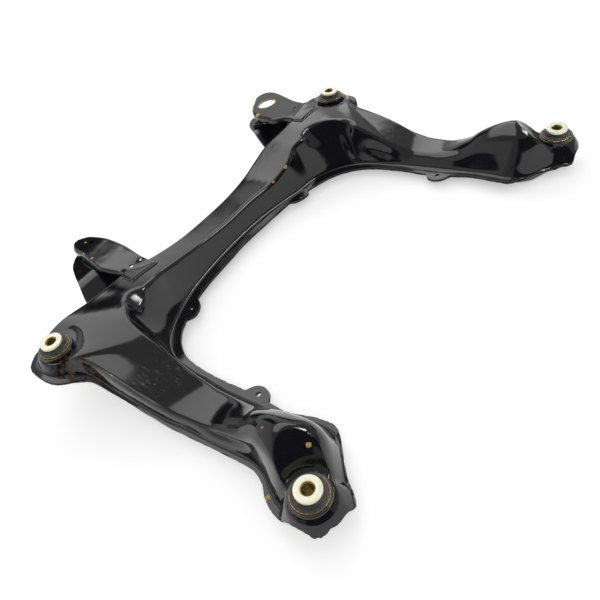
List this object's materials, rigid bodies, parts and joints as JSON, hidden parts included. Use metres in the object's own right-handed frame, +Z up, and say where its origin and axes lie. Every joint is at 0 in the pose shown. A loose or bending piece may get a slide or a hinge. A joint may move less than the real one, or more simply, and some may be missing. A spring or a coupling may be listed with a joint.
{
  "type": "subframe",
  "caption": "U-shaped pressed-steel subframe with a crossmember, two arms, rubber bushes and rear horns that carries engine and suspension under a car body.",
  "frame": {"origin": "centre of the plan outline, on the plane that the lowest point of the belly touches", "axes": "+X to the car's right, +Y towards the horns at the rear, +Z up"},
  "size_m": [1.006, 0.845, 0.1489],
  "materials": {
    "black_coat": "gloss",
    "pale_core": "satin",
    "rubber": "matte",
    "gold_plate": "satin",
    "weld_steel": "satin"
  },
  "bodies": {
    "root": {"core_rear_left": "pale_core", "core_rear_right": "pale_core", "core_front_left": "pale_core", "core_front_right": "pale_core", "rubber_rear_left": "rubber", "rubber_rear_right": "rubber", "rubber_front_left": "rubber", "rubber_front_right": "rubber", "sleeve_rear_left": "gold_plate", "sleeve_rear_right": "gold_plate", "sleeve_front_left": "gold_plate", "sleeve_front_right": "gold_plate", "housing_rear_left": "black_coat", "housing_rear_right": "black_coat", "housing_front_left": "black_coat", "housing_front_right": "black_coat", "upper_shell": "black_coat", "lower_shell": "black_coat", "horn_upper_left": "black_coat", "horn_upper_right": "black_coat", "horn_lower_left": "black_coat", "horn_lower_right": "black_coat", "weld_left": "weld_steel", "weld_right": "weld_steel", "spacer_left": "black_coat", "weld_nut_right": "weld_steel"}
  },
  "joints": []
}
